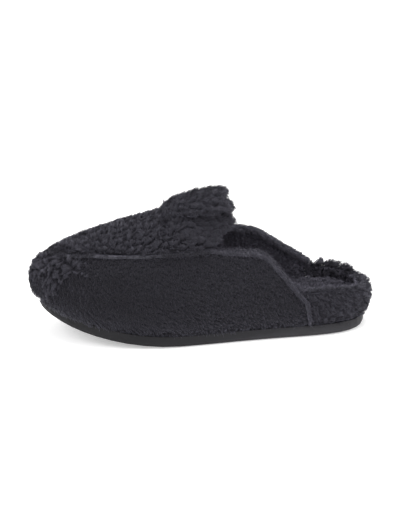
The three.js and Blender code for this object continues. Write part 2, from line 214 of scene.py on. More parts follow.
def backing_finish(name, lift=1.0):
    """The knitted ground that the pile is rooted in."""
    finish, tree, shader = new_finish(name, 0.92, 0.15, 0.1)
    place = place_on(tree)
    loops = cells(tree, place, 900.0)
    nap = noise(tree, place, 420.0, 6.0, 0.7)
    patches = noise(tree, place, 45.0, 3.0)
    shade = math_node(tree, "MULTIPLY", loops, nap)
    shade = math_node(tree, "ADD", shade, math_node(tree, "MULTIPLY", patches, 0.3))
    stops = [
        (0.1, [c * lift for c in (0.0085, 0.0081, 0.0102)]),
        (0.6, [c * lift for c in (0.0130, 0.0124, 0.0156)]),
        (0.95, [c * lift for c in (0.0190, 0.0182, 0.0228)]),
    ]
    tree.links.new(ramp(tree, shade, stops), shader.inputs["Base Color"])
    bump(tree, shader, math_node(tree, "ADD", loops, nap), 0.35 * MM)
    return finish


def tape_finish(name, lift=1.0):
    """Ribbed binding tape with a soft worn edge."""
    finish, tree, shader = new_finish(name, 0.78, 0.3, 0.15)
    place = place_on(tree)
    ribs = bands(tree, place, 320.0, "X", 0.4)
    weave = bands(tree, place, 700.0, "Z", 0.3)
    wear = noise(tree, place, 120.0, 5.0, 0.7)
    wear = math_node(tree, "MULTIPLY", wear, 0.8)
    shade = math_node(tree, "ADD", math_node(tree, "MULTIPLY", ribs, 0.4), wear)
    stops = [
        (0.2, [c * lift for c in (0.020, 0.0194, 0.0235)]),
        (0.6, [c * lift for c in (0.036, 0.035, 0.042)]),
        (0.9, [c * lift for c in (0.060, 0.058, 0.068)]),
    ]
    tree.links.new(ramp(tree, shade, stops), shader.inputs["Base Color"])
    bump(tree, shader, math_node(tree, "ADD", ribs, weave), 0.2 * MM)
    return finish


def rubber_finish(name):
    """Moulded sole rubber: a fine spark-eroded grain, scuffs, dust near the ground, and painted shade, darker
    towards the toe and paler at the heel.
    """
    finish, tree, shader = new_finish(name, 0.62, 0.0, 0.2)
    place = place_on(tree)
    grain = noise(tree, place, 2600.0, 3.0, 0.6)
    scuffs = noise(tree, place_on(tree, (0.4, 1, 1.6)), 160.0, 6.0, 0.75)
    height = add(tree, "ShaderNodeSeparateXYZ", None, {"Vector": place}).outputs["Z"]
    settings = {"clamp": True}
    plugs = {"Value": height, "From Min": 0.0, "From Max": 9 * MM, "To Min": 0.45, "To Max": 0.0}
    dust = add(tree, "ShaderNodeMapRange", settings, plugs).outputs["Result"]
    # Painted shade along the sole: darker towards the toe, paler at the heel.
    along = add(tree, "ShaderNodeSeparateXYZ", None, {"Vector": place}).outputs["X"]
    plugs = {"Value": along, "From Min": -60 * MM, "From Max": 70 * MM, "To Min": -0.42, "To Max": 0.12}
    toe_painted_shade = add(tree, "ShaderNodeMapRange", settings, plugs).outputs["Result"]
    shade = math_node(tree, "ADD", dust, math_node(tree, "MULTIPLY", scuffs, 0.75))
    shade = math_node(tree, "ADD", shade, toe_painted_shade)
    stops = [(0.05, (0.0062, 0.0060, 0.0074)), (0.5, (0.0135, 0.0130, 0.0154)), (0.95, (0.038, 0.037, 0.041))]
    tree.links.new(ramp(tree, shade, stops), shader.inputs["Base Color"])
    roughness = {"Value": scuffs, "From Min": 0.3, "From Max": 0.7, "To Min": 0.5, "To Max": 0.78}
    roughness = add(tree, "ShaderNodeMapRange", None, roughness).outputs["Result"]
    tree.links.new(roughness, shader.inputs["Roughness"])
    bump(tree, shader, grain, 0.12 * MM, 0.8)
    return finish


def foam_finish(name, pale):
    """Open-cell foam."""
    finish, tree, shader = new_finish(name, 0.9, 0.1, 0.2)
    place = place_on(tree)
    pores = cells(tree, place, 1100.0)
    mottle = noise(tree, place, 60.0)
    shade = math_node(tree, "ADD", pores, math_node(tree, "MULTIPLY", mottle, 0.4))
    stops = [(0.1, [c * 0.45 for c in pale]), (0.7, pale), (1.0, [min(1, c * 1.2) for c in pale])]
    tree.links.new(ramp(tree, shade, stops), shader.inputs["Base Color"])
    bump(tree, shader, pores, 0.4 * MM)
    return finish


def board_finish(name, pale, grain_size):
    """Pressed fibre: short flecks over a mottled ground."""
    finish, tree, shader = new_finish(name, 0.85, 0.0, 0.3)
    flecks = noise(tree, place_on(tree, (1, 5, 1)), grain_size, 5.0, 0.8)
    ground = noise(tree, place_on(tree), 90.0)
    ground = math_node(tree, "MULTIPLY", ground, 0.3)
    shade = math_node(tree, "ADD", math_node(tree, "MULTIPLY", flecks, 0.8), ground)
    stops = [(0.25, [c * 0.55 for c in pale]), (0.6, pale), (0.9, [min(1, c * 1.3) for c in pale])]
    tree.links.new(ramp(tree, shade, stops), shader.inputs["Base Color"])
    bump(tree, shader, flecks, 0.15 * MM)
    return finish


# ---------------------------------------------------------------- fabric over the frame


def body_for(node):
    """The body that a CAD node moves with."""
    return frame["nodes"][node]["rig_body"]


def link(name, mesh):
    """A new piece of the scene with this mesh."""
    piece = bpy.data.objects.new(name, mesh)
    bpy.context.scene.collection.objects.link(piece)
    return piece


def applied(piece):
    """The piece's mesh with its modifiers worked into it."""
    bpy.context.view_layer.update()
    drawn = piece.evaluated_get(bpy.context.evaluated_depsgraph_get())
    mesh = bpy.data.meshes.new_from_object(drawn)
    piece.modifiers.clear()
    old = piece.data
    piece.data = mesh
    bpy.data.meshes.remove(old)
    return piece


def merged_copy(nodes):
    """One bmesh with the closed skins of these CAD nodes."""
    skin = bmesh.new()
    for node in nodes:
        skin.from_mesh(frame["nodes"][node].data)
    bmesh.ops.remove_doubles(skin, verts=skin.verts, dist=0.002 * MM)
    bmesh.ops.recalc_face_normals(skin, faces=skin.faces)
    return skin


def soften(name, node, grid, rounds):
    """A cloth or foam piece in the room its CAD solid holds, with its hard edges rolled round."""
    skin = merged_copy([node])
    mesh = bpy.data.meshes.new(name)
    skin.to_mesh(mesh)
    skin.free()
    piece = link(name, mesh)
    remesh = piece.modifiers.new("grid", "REMESH")
    remesh.mode = "VOXEL"
    remesh.voxel_size = grid
    remesh.use_smooth_shade = True
    if rounds:
        smooth = piece.modifiers.new("round", "SMOOTH")
        smooth.factor = 0.5
        smooth.iterations = rounds
    applied(piece)
    mesh = piece.data
    mesh.name = name
    mesh.shade_smooth()
    return piece


def dress(piece, node, finish, slot):
    """Puts the piece in the place of its CAD node, in its finish."""
    piece.data.materials.clear()
    piece.data.materials.append(finish)
    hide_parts(node)
    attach(piece, body_for(node))
    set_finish(piece, slot)
    return piece


SOFT_PIECES = {
    # CAD node: (piece, grid in mm, rounds of smoothing, finish, material slot)
    "heel_wrap": ("heel_roll_cover", 1.3, 3, "heel", "long_pile"),
    "apron_shell": ("apron_panel", 1.3, 3, "pile", "long_pile"),
    "tongue_shell": ("tab_panel", 1.3, 3, "pile", "long_pile"),
    "tongue_cuff": ("tab_cuff", 1.3, 4, "pile", "long_pile"),
    "quarter_lateral": ("quarter_panel_lateral", 1.5, 3, "side", "short_pile"),
    "quarter_medial": ("quarter_panel_medial", 1.5, 3, "side", "short_pile"),
    "apron_lining": ("apron_lining_fleece", 1.2, 2, "bed", "fleece_lining"),
    "tongue_lining": ("tab_lining_fleece", 1.2, 2, "bed", "fleece_lining"),
    "quarter_lining_lateral": ("quarter_lining_fleece_lateral", 1.4, 2, "fleece", "fleece_lining"),
    "quarter_lining_medial": ("quarter_lining_fleece_medial", 1.4, 2, "fleece", "fleece_lining"),
    "footbed_cover": ("footbed_fleece", 1.4, 2, "bed", "fleece_lining"),
    "topline_binding_lateral": ("topline_tape_lateral", 0.7, 2, "tape", "edge_binding"),
    "topline_binding_medial": ("topline_tape_medial", 0.7, 2, "tape", "edge_binding"),
    "seam_piping_lateral": ("seam_tape_lateral", 0.6, 2, "piping", "edge_binding"),
    "seam_piping_medial": ("seam_tape_medial", 0.6, 2, "piping", "edge_binding"),
    "heel_pad": ("heel_roll_foam", 1.5, 2, "foam", "soft_foam"),
    "apron_foam": ("apron_foam_layer", 1.05, 1, "foam", "soft_foam"),
    "tongue_foam": ("tab_foam_layer", 1.05, 1, "foam", "soft_foam"),
    "quarter_foam_lateral": ("quarter_foam_layer_lateral", 1.05, 1, "foam", "soft_foam"),
    "quarter_foam_medial": ("quarter_foam_layer_medial", 1.05, 1, "foam", "soft_foam"),
    "footbed_core": ("footbed_foam_core", 1.6, 2, "cork", "footbed_foam"),
}

# How far the open side of each ground is sunk, to leave room for its pile.
PILE_SINK = {"long_pile": 1.6 * MM, "short_pile": 0.7 * MM, "fleece_lining": 0.8 * MM}

# ---------------------------------------------------------------- fur

# Room that one lock takes across its map. Where the lock is planted, its shade moves it along the map.
MAP_WIDTH = 0.012
# Where a fibre with a single ring of corners is widest, from root to tip.
SINGLE_RING = 0.38
# Feelers start just off the ground. One stands upright, and four lean this much to each side.
FEELER_START = 0.35 * MM
FEELER_LEAN = 0.7


def fibre_lock(name, seed, count, spread, length, width, start, end, gather, rings):
    """A lock of fibres to plant, as an object that the scene itself doesn't show.

    count fibres are rooted within spread. start and end are how far they lean from upright at the
    root and at the tip, in radians, gather how far they close together towards the tip, and rings
    how many rings of corners each has. The map runs across a fibre, and from its root to its tip."""
    chance = random.Random(seed)
    whole = bmesh.new()
    uv = whole.loops.layers.uv.new("OFBake")
    for _ in range(count):
        reach = spread * math.sqrt(chance.random())
        side = chance.uniform(0, 2 * math.pi)
        root = Vector((reach * math.cos(side), reach * math.sin(side), 0))
        long = length * chance.uniform(0.72, 1.12)
        lean = (start + chance.uniform(-0.15, 0.15), end + chance.uniform(-0.25, 0.25))
        twist = chance.uniform(-0.35, 0.35)
        made = bmesh.ops.create_uvsphere(whole, u_segments=3, v_segments=rings + 1, radius=1)["verts"]
        shares = {}
        for vert in made:
            share = (vert.co.z + 1) / 2
            shares[vert] = SINGLE_RING if rings == 1 and 0.1 < share < 0.9 else share
        # A fibre has three sides, and each takes a third of the way across the map.
        for face in {face for vert in made for face in vert.link_faces}:
            middle = face.calc_center_median()
            third = int((math.atan2(middle.y, middle.x) / (2 * math.pi) % 1) * 3 + 0.01)
            corners = sorted(face.loops, key=lambda loop: math.atan2(
                loop.vert.co.y * middle.x - loop.vert.co.x * middle.y,
                loop.vert.co.x * middle.x + loop.vert.co.y * middle.y,
            ))
            for rank, loop in enumerate(corners):
                across = third + (rank >= len(corners) / 2)
                loop[uv].uv = (across / 3 * MAP_WIDTH, shares[loop.vert])
        for vert in made:
            share = shares[vert]
            across = Vector((vert.co.x, vert.co.y, 0))
            if 0.01 < share < 0.99:
                across = across.normalized() * width / 2 * (1.15 - 0.7 * share)
            angle = lean[1] - lean[0]
            here = lean[0] + angle * share
            over = (math.cos(lean[0]) - math.cos(here)) / angle * long
            up = (math.sin(here) - math.sin(lean[0])) / angle * long
            turn = twist * share
            line = Vector((over * math.cos(turn), over * math.sin(turn), up))
            vert.co = root * (1 - gather * share) + line + across
    bmesh.ops.triangulate(whole, faces=whole.faces)
    mesh = bpy.data.meshes.new(name)
    whole.to_mesh(mesh)
    whole.free()
    mesh.shade_smooth()
    return bpy.data.objects.new(name, mesh)


def grow_tree(name, lock, finish, per_mm2, seed, clump, pull, stray, tilt, sizes, stretch):
    """Node tree that plants locks on a mesh where its grow attribute allows.

    comb is the way the pile is brushed, and length its length. clump is the size of the tufts it
    gathers into, pull how strongly, stray how far a lock strays from the brushing, tilt how
    unevenly locks stand, sizes their range, and stretch how the tufts are drawn out."""
    tree = bpy.data.node_groups.new(name, "GeometryNodeTree")
    tree.interface.new_socket("Geometry", in_out="INPUT", socket_type="NodeSocketGeometry")
    tree.interface.new_socket("Geometry", in_out="OUTPUT", socket_type="NodeSocketGeometry")
    ground = add(tree, "NodeGroupInput").outputs[0]

    def attribute(label, kind):
        return add(tree, "GeometryNodeInputNamedAttribute", {"data_type": kind}, {"Name": label}).outputs[0]

    def scaled(vector, amount):
        node = add(tree, "ShaderNodeVectorMath", {"operation": "SCALE"}, {0: vector, "Scale": amount})
        return node.outputs[0]

    def vector_math(how, first, second):
        return add(tree, "ShaderNodeVectorMath", {"operation": how}, {0: first, 1: second}).outputs[0]

    def chance(low, high, offset):
        node = add(tree, "FunctionNodeRandomValue", {"data_type": "FLOAT"}, {"Seed": seed + offset})
        node.inputs[2].default_value = low
        node.inputs[3].default_value = high
        return node.outputs[1]

    density = math_node(tree, "MULTIPLY", attribute("grow", "FLOAT"), per_mm2 * 1e6)
    planted = add(tree, "GeometryNodeDistributePointsOnFaces", {"distribute_method": "RANDOM"}, {
        "Mesh": ground, "Density": density, "Seed": seed,
    })
    place = add(tree, "GeometryNodeInputPosition").outputs[0]
    drawn = vector_math("MULTIPLY", place, tuple(stretch))
    tufts = add(tree, "ShaderNodeTexVoronoi", {"feature": "F1"}, {"Vector": drawn, "Scale": 1 / clump})
    to_tuft = scaled(vector_math("SUBTRACT", tufts.outputs["Position"], drawn), pull / clump)
    wander = add(tree, "ShaderNodeTexNoise", None, {"Vector": place, "Scale": 120.0, "Detail": 3.0})
    wander = scaled(vector_math("SUBTRACT", wander.outputs["Color"], (0.5, 0.5, 0.5)), stray * 2)
    way = vector_math("ADD", attribute("comb", "FLOAT_VECTOR"), vector_math("ADD", to_tuft, wander))
    turned = add(tree, "FunctionNodeAxesToRotation", {"primary_axis": "Z", "secondary_axis": "X"}, {
        0: planted.outputs["Normal"], 1: way,
    })
    settle = add(tree, "ShaderNodeCombineXYZ", None, {
        "X": chance(-tilt, tilt, 1), "Y": chance(-tilt, tilt, 2), "Z": chance(-tilt * 1.5, tilt * 1.5, 3),
    })
    settle = add(tree, "FunctionNodeEulerToRotation", None, {0: settle.outputs[0]})
    rotation = add(tree, "FunctionNodeRotateRotation", {"rotation_space": "LOCAL"}, {
        0: turned.outputs[0], 1: settle.outputs[0],
    })
    size = math_node(tree, "MULTIPLY", attribute("length", "FLOAT"), chance(sizes[0], sizes[1], 4))
    source = add(tree, "GeometryNodeObjectInfo", None, {"Object": lock})
    copies = add(tree, "GeometryNodeInstanceOnPoints", None, {
        "Points": planted.outputs["Points"],
        "Instance": source.outputs["Geometry"],
        "Rotation": rotation.outputs[0],
        "Scale": size,
    })
    shaded = add(tree, "GeometryNodeStoreNamedAttribute", {"data_type": "FLOAT", "domain": "INSTANCE"}, {
        "Geometry": copies.outputs[0], "Name": "shade", "Value": chance(0.005, 0.98, 5),
    })
    real = add(tree, "GeometryNodeRealizeInstances", None, {"Geometry": shaded.outputs[0]})
    own = add(tree, "ShaderNodeSeparateXYZ", None, {"Vector": attribute("OFBake", "FLOAT_VECTOR")})
    across = math_node(tree, "ADD", own.outputs["X"], attribute("shade", "FLOAT"))
    spread = add(tree, "ShaderNodeCombineXYZ", None, {"X": across, "Y": own.outputs["Y"]})
    mapped = add(tree, "GeometryNodeStoreNamedAttribute", {"data_type": "FLOAT2", "domain": "CORNER"}, {
        "Geometry": real.outputs[0], "Name": "OFBake", "Value": spread.outputs[0],
    })
    result = mapped.outputs[0]
    for label in ("shade", "grow", "comb", "length"):
        plugs = {"Geometry": result, "Name": label}
        result = add(tree, "GeometryNodeRemoveAttribute", None, plugs).outputs[0]
    result = add(tree, "GeometryNodeSetMaterial", None, {"Geometry": result, "Material": finish}).outputs[0]
    add(tree, "NodeGroupOutput", None, {0: result})
    return tree


def vertex_arrays(mesh):
    """The places and the normals of the mesh's corners, a row each."""
    places = np.empty(len(mesh.vertices) * 3, np.float32)
    mesh.vertices.foreach_get("co", places)
    normals = np.empty(len(mesh.vertices) * 3, np.float32)
    mesh.vertex_normals.foreach_get("vector", normals)
    return places.reshape(-1, 3).astype(float), normals.reshape(-1, 3).astype(float)


def open_share(places, normals, around, reach):
    """For each point, the share of its feelers that meet nothing within reach: 1 in the open."""
    share = np.zeros(len(places))
    for i, (place, normal) in enumerate(zip(places, normals)):
        out = Vector(normal)
        side = out.orthogonal().normalized()
        other = out.cross(side)
        start = Vector(place) + out * FEELER_START
        free = 0
        for lean in (Vector((0, 0, 0)), side, -side, other, -other):
            free += around.ray_cast(start, (out + lean * FEELER_LEAN).normalized(), reach)[0] is None
        share[i] = free / 5
    return share


def plant(name, host, places, grow, comb, length, lock, finish, pile, seed, body, slot):
    """Fur on the host's open faces, as a piece of its own."""
    mesh = host.data.copy()
    mesh.name = name
    for label, kind, values in (("grow", "FLOAT", grow), ("length", "FLOAT", length)):
        mesh.attributes.new(label, kind, "POINT").data.foreach_set("value", values.astype(np.float32))
    brushed = mesh.attributes.new("comb", "FLOAT_VECTOR", "POINT")
    brushed.data.foreach_set("vector", comb.astype(np.float32).ravel())
    piece = link(name, mesh)
    piece.modifiers.new("fur", "NODES").node_group = grow_tree(name, lock, finish, seed=seed, **pile)
    applied(piece)
    piece.data.name = name
    if body == "fold":
        bend_at_fold(piece)
    else:
        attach(piece, body)
    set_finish(piece, slot)
    return piece


# ---------------------------------------------------------------- the fold of the tab

# The fold runs from the hinge down to the tab's foot, and its own fabric reaches this far to each
# side of it.
FOLD_POINT = Vector(frame["record"]["behaviour"]["joints"][0]["pos_m"])
FOLD_FOOT = Vector((8.0 * MM, 0, 71.5 * MM))
FOLD_REACH = 8 * MM
FOLD_WAY = Vector((FOLD_POINT.z - FOLD_FOOT.z, 0, FOLD_FOOT.x - FOLD_POINT.x)).normalized()


def fold_band(name, depth):
    """A strip of the upper's ground across the fold of the tab, depth below its outside."""
    skin = merged_copy(["apron_shell", "tongue_shell"])
    mesh = bpy.data.meshes.new(name)
    skin.to_mesh(mesh)
    skin.free()
    piece = link(name, mesh)
    remesh = piece.modifiers.new("grid", "REMESH")
    remesh.mode = "VOXEL"
    remesh.voxel_size = 1.3 * MM
    smooth = piece.modifiers.new("round", "SMOOTH")
    smooth.iterations = 6
    applied(piece)
    strip = bmesh.new()
    strip.from_mesh(piece.data)
    for way in (1, -1):
        geometry = strip.verts[:] + strip.edges[:] + strip.faces[:]
        edge = FOLD_POINT + FOLD_WAY * FOLD_REACH * way
        bmesh.ops.bisect_plane(strip, geom=geometry, plane_co=edge, plane_no=FOLD_WAY * way, clear_outer=True)
    bmesh.ops.holes_fill(strip, edges=strip.edges, sides=0)
    bmesh.ops.triangulate(strip, faces=[face for face in strip.faces if len(face.verts) > 4])
    bmesh.ops.recalc_face_normals(strip, faces=strip.faces)
    for vert in strip.verts:
        vert.co -= vert.normal * depth
    strip.to_mesh(piece.data)
    strip.free()
    piece.data.name = name
    piece.data.shade_smooth()
    return piece


def bend_at_fold(piece):
    """Works the piece's place into its mesh."""
    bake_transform(piece)


# ---------------------------------------------------------------- making

set_camera()

finishes = {
    "pile": backing_finish("pile_ground"),
    "side": backing_finish("side_ground", 1.2),
    # A paler copy of the ground for the heel roll: painted light where the roll lies in its own shade.
    "heel": backing_finish("heel_ground_painted_light", 1.3),
    # The lining's grounds are paler copies, the walls' most of all: painted light where they lie in shade
    # inside the slipper.
    "fleece": backing_finish("fleece_ground_painted_light", 5.0),
    "bed": backing_finish("footbed_ground", 2.8),
    "tape": tape_finish("binding_tape"),
    "piping": tape_finish("seam_piping_tape", 0.8),
    "rubber": rubber_finish("sole_rubber"),
    "foam": foam_finish("soft_foam_grey", (0.035, 0.035, 0.038)),
    "cork": foam_finish("footbed_foam_black", (0.06, 0.06, 0.065)),
    "board": board_finish("insole_board_fibre", (0.30, 0.25, 0.19), 500.0),
    "stiffener": board_finish("toe_stiffener_felt", (0.045, 0.044, 0.048), 350.0),
}
long_fur = fur_finish("long_fur", 1.32)
heel_fur = fur_finish("heel_fur", 1.38)
short_fur = fur_finish("short_fur", 0.84, 0.12)
seam_fur = fur_finish("seam_fur", 0.95)
# The lining's fleece in copies lifted paler the deeper they lie in shade, most on the walls and less on the
# footbed: painted light.
fleece_fur_painted_light = fur_finish("fleece_fur_painted_light", 5.5)
# A paler copy of the fleece for the inner wall of the heel roll: painted light where the roll shades it.
inner_fur_painted_light = fur_finish("inner_fur_painted_light", 4.0)
# A paler copy of the long fur for the toe: painted light where its longer tufts shade each other.
toe_fur_painted_light = fur_finish("toe_fur_painted_light", 1.75)
bed_fur = fur_finish("bed_fur", 2.9)
# A paler copy of the fur for the top edge: painted light, where the edge faces up into the light.
edge_fur_painted_light = fur_finish("edge_fur_painted_light", 2.2)

pieces = {}
for node, (name, grid, rounds, finish, slot) in SOFT_PIECES.items():
    piece = soften(name, node, grid * MM, rounds)
    pieces[node] = dress(piece, node, finishes[finish], slot)

for node, finish in (("outsole", "rubber"), ("insole_board", "board"), ("toe_puff", "stiffener")):
    mesh = frame["nodes"][node].data
    mesh.materials.clear()
    mesh.materials.append(finishes[finish])

# What can hide a piece of fur, as one tree: every soft piece, the sole and the toe stiffener.
around = bmesh.new()
for piece in [*pieces.values(), frame["nodes"]["outsole"], frame["nodes"]["toe_puff"]]:
    around.from_mesh(piece.data)
around_tree = BVHTree.FromBMesh(around)
around.free()

long_lock = fibre_lock(
    "long_lock", seed=3, count=5, spread=1.3 * MM, length=7.0 * MM, width=0.54 * MM,
    start=0.45, end=1.45, gather=0.7, rings=2,
)
laid_lock = fibre_lock(
    "laid_lock", seed=4, count=5, spread=1.3 * MM, length=8.0 * MM, width=0.42 * MM,
    start=0.9, end=1.5, gather=0.55, rings=2,
)
short_lock = fibre_lock(
    "short_lock", seed=5, count=4, spread=1.1 * MM, length=3.9 * MM, width=0.48 * MM,
    start=0.75, end=1.5, gather=0.25, rings=1,
)
fleece_lock = fibre_lock(
    "fleece_lock", seed=8, count=4, spread=1.1 * MM, length=4.2 * MM, width=0.52 * MM,
    start=0.2, end=1.5, gather=0.5, rings=1,
)

# Locks to the square mm, and how they gather, stray and stand, for each kind of pile.
TUFTED = dict(
    per_mm2=0.53, clump=5.5 * MM, pull=1.6, stray=0.6, tilt=0.25, sizes=(0.7, 1.15), stretch=(0.8, 1, 1)
)
COMBED = dict(
    per_mm2=0.75, clump=4.0 * MM, pull=1.3, stray=0.5, tilt=0.3, sizes=(0.6, 1.25), stretch=(0.35, 1, 1)
)
SMOOTH = dict(
    per_mm2=0.58, clump=8.0 * MM, pull=0.15, stray=0.3, tilt=0.12, sizes=(0.8, 1.15), stretch=(0.4, 1, 1)
)
CURLED = dict(
    per_mm2=0.5, clump=4.0 * MM, pull=1.2, stray=0.8, tilt=0.3, sizes=(0.7, 1.15), stretch=(1, 1, 1)
)
EDGED = dict(
    per_mm2=1.2, clump=4.0 * MM, pull=0.3, stray=0.4, tilt=0.25, sizes=(0.6, 1.1), stretch=(0.6, 1, 1)
)

# The sole's underside curls up ahead of this place, on this radius.
ROLL_X = -9.3 * MM
ROLL_RADIUS = 298 * MM

# Lines on the upper, as (place along the slipper, height), both in mm.
SEAM_LINE = [(-133, 55), (-122, 60.5), (-104, 66), (-80, 69), (-45, 69.5), (8, 71.5), (200, 71.5)]
CUFF_LINE = [(-53, 92), (-27, 95.5), (-8, 97), (43, 100)]

# Places along the slipper where the pile changes.
# Between these two places the apron's pile turns into its paler toe copy: painted light.
TOE_PAINTED_LIGHT = (-70 * MM, -105 * MM)
SIDE_END_LATERAL = 81 * MM
SIDE_END_MEDIAL = 88 * MM
HEEL_MIDDLE = 85 * MM
HEEL_HALF_WIDTH = 30 * MM

# Heights over the underside of the sole.
HEM_TOP = 17 * MM
HEM_FOOT = 10 * MM


def rise(low, high, values):
    """0 below low, 1 above high, and smooth between, or the other way round if low is above high."""
    share = np.clip((values - low) / (high - low), 0, 1)
    return share * share * (3 - 2 * share)


def over_tread(places):
    """Height above the underside of the sole, which curls up towards the toe."""
    ahead = np.maximum(ROLL_X - places[:, 0], 0)
    return places[:, 2] - ROLL_RADIUS + np.sqrt(ROLL_RADIUS**2 - ahead**2)


def seam_height(x):
    """Height of the seam between the apron and the quarters."""
    return np.interp(x, [along * MM for along, _ in SEAM_LINE], [high * MM for _, high in SEAM_LINE])


def cuff_edge(x):
    """Height of the cuff's lower edge."""
    return np.interp(x, [along * MM for along, _ in CUFF_LINE], [high * MM for _, high in CUFF_LINE])


def steady(places, brush):
    """The same brushing all over."""
    return np.tile(np.array(brush, float), (len(places), 1))


def at_toe(places):
    """0 on the vamp, and 1 at the toe."""
    return rise(*TOE_PAINTED_LIGHT, places[:, 0])


def inward(places, normals):
    """1 on the inner wall of the heel roll, and 0 on its top and outside."""
    toward_middle = -(places[:, 0] - HEEL_MIDDLE) * normals[:, 0] - places[:, 1] * normals[:, 1]
    return rise(0.05, 0.4, toward_middle / HEEL_HALF_WIDTH) * rise(0.95, 0.75, normals[:, 2])


# Each of these takes the places and normals on a ground and how open it lies there, and gives how
# densely its pile grows, the way that it is brushed, and its length against the lock's own.


def apron_pile(places, normals, grow):
    """Tufts that get longer towards the toe."""
    x = places[:, 0]
    length = 0.66 + 0.2 * rise(-60 * MM, -105 * MM, x) + 0.25 * rise(-112 * MM, -124 * MM, x)
    return grow * (1 - at_toe(places)), steady(places, (0.6, 0, 0)), length


def apron_toe_pile(places, normals, grow):
    """The same pile at the toe, kept apart for a paler finish: painted light where its longer tufts shade each
    other.
    """
    _, comb, length = apron_pile(places, normals, grow)
    return grow * at_toe(places), comb, length


def tab_pile(places, normals, grow):
    """Combed back over the tab, short on its rear edge, with a crease under the cuff."""
    comb = steady(places, (1.6, 0, 0))
    length = 0.75 - 0.45 * rise(0.3, 0.9, normals[:, 0])
    crease = np.exp(-((places[:, 2] - cuff_edge(places[:, 0])) / (1.6 * MM)) ** 2)
    return grow * (1 - 0.9 * crease), comb, length


def cuff_pile(places, normals, grow):
    """Combed back over the cuff, and down at its lower edge."""
    comb = steady(places, (1.6, 0, 0))
    comb[:, 2] -= 0.4 * rise(104 * MM, 97 * MM, places[:, 2])
    length = 0.85 - 0.5 * rise(0.2, 0.8, normals[:, 0])
    return grow, comb, length


def heel_pile(places, normals, grow):
    """Stands up round the roll, hangs down its outside, and closes over the ends of the side panels."""
    out = np.sqrt(normals[:, 0] ** 2 + normals[:, 1] ** 2)
    outer = rise(0.4, 0.9, out) * (places[:, 0] * normals[:, 0] + places[:, 1] * normals[:, 1] > 0)
    comb = steady(places, (0.7, 0, 0))
    comb[:, 2] -= 0.9 * outer
    comb[:, :2] += 0.5 * normals[:, :2]
    back = rise(112 * MM, 128 * MM, places[:, 0])
    # High up on the far side, from the side panel's end towards the back, the pile is longer.
    far = rise(80 * MM, 88 * MM, places[:, 0]) * rise(124 * MM, 112 * MM, places[:, 0]) * (places[:, 1] > 0)
    far *= rise(28 * MM, 34 * MM, places[:, 2])
    side_end = np.where(places[:, 1] > 0, SIDE_END_MEDIAL, SIDE_END_LATERAL)
    front = side_end + 4 * MM - 0.12 * (places[:, 2] - 10 * MM)
    meets = rise(0, -5 * MM, places[:, 0] - front)
    comb[:, 0] -= 1.6 * meets
    grow = np.maximum(grow, 0.9 * meets * (out > 0.3))
    return grow * (1 - 0.8 * inward(places, normals)), comb, 0.78 - 0.25 * outer * (1 - back) + 0.6 * far


def heel_inner_pile(places, normals, grow):
    """Fleece on the inner wall of the roll."""
    return grow * inward(places, normals), steady(places, (0.3, 0, 0.5)), 1.1 * np.ones(len(places))


def quarter_pile(places, normals, grow):
    """Short and brushed back, and turned down at the hem, where it hangs over the sole's edge."""
    above = over_tread(places)
    hem = rise(HEM_TOP, HEM_FOOT, above)
    comb = steady(places, (1.0, 0, -0.15))
    comb[:, 0] -= 0.5 * hem
    comb[:, 2] -= 1.1 * hem
    over_sole = rise(15 * MM, 10.5 * MM, above) * rise(40 * MM, 15 * MM, places[:, 0])
    return grow, comb, 0.95 + 0.5 * over_sole


def toe_pile(places, normals, grow):
    """The long pile runs down over the seam at the toe, and thins out down the front."""
    x, z = places[:, 0], places[:, 2]
    ahead = rise(-78 * MM, -100 * MM, x)
    foot = seam_height(x) - (6 * MM + 34 * MM * rise(-96 * MM, -128 * MM, x))
    down = rise(-7 * MM, 5 * MM, z - foot)
    comb = steady(places, (0.3, 0, -0.5))
    low = rise(58 * MM, 48 * MM, z) * rise(-112 * MM, -126 * MM, x)
    return grow * ahead * down, comb, 0.85 + 0.25 * rise(-115 * MM, -128 * MM, x) - 0.75 * low


def tape_pile(places, normals, grow):
    """A soft nap over an edge, longer on the far side."""
    comb = steady(places, (1.0, 0, -0.4))
    return grow, comb, 0.8 + 0.5 * (places[:, 1] > 0)


def seam_pile(places, normals, grow):
    """The piping shows only along the forward part of the side, and pile hides the rest of it."""
    x = places[:, 0]
    shown = rise(-84 * MM, -78 * MM, x) * rise(-30 * MM, -48 * MM, x) * (places[:, 1] < 0)
    return grow * (1 - 0.65 * shown), steady(places, (0.8, 0, -0.2)), 1.15 - 0.25 * shown


def fleece_pile(places, normals, grow):
    """Fleece where the lining can be seen, from the throat back."""
    inside = rise(-32 * MM, -12 * MM, places[:, 0])
    return grow * inside, steady(places, (0.4, 0, 0)), 0.75 * np.ones(len(places))


def side_lining_pile(places, normals, grow):
    """The fleece turns round the rear end of the side, and closes the slit in front of the heel roll."""
    grow, comb, length = fleece_pile(places, normals, grow)
    end = rise(66 * MM, 76 * MM, places[:, 0])
    comb[:, 0] += 1.2 * end
    return np.maximum(grow, 0.8 * end), comb, length + 0.45 * end


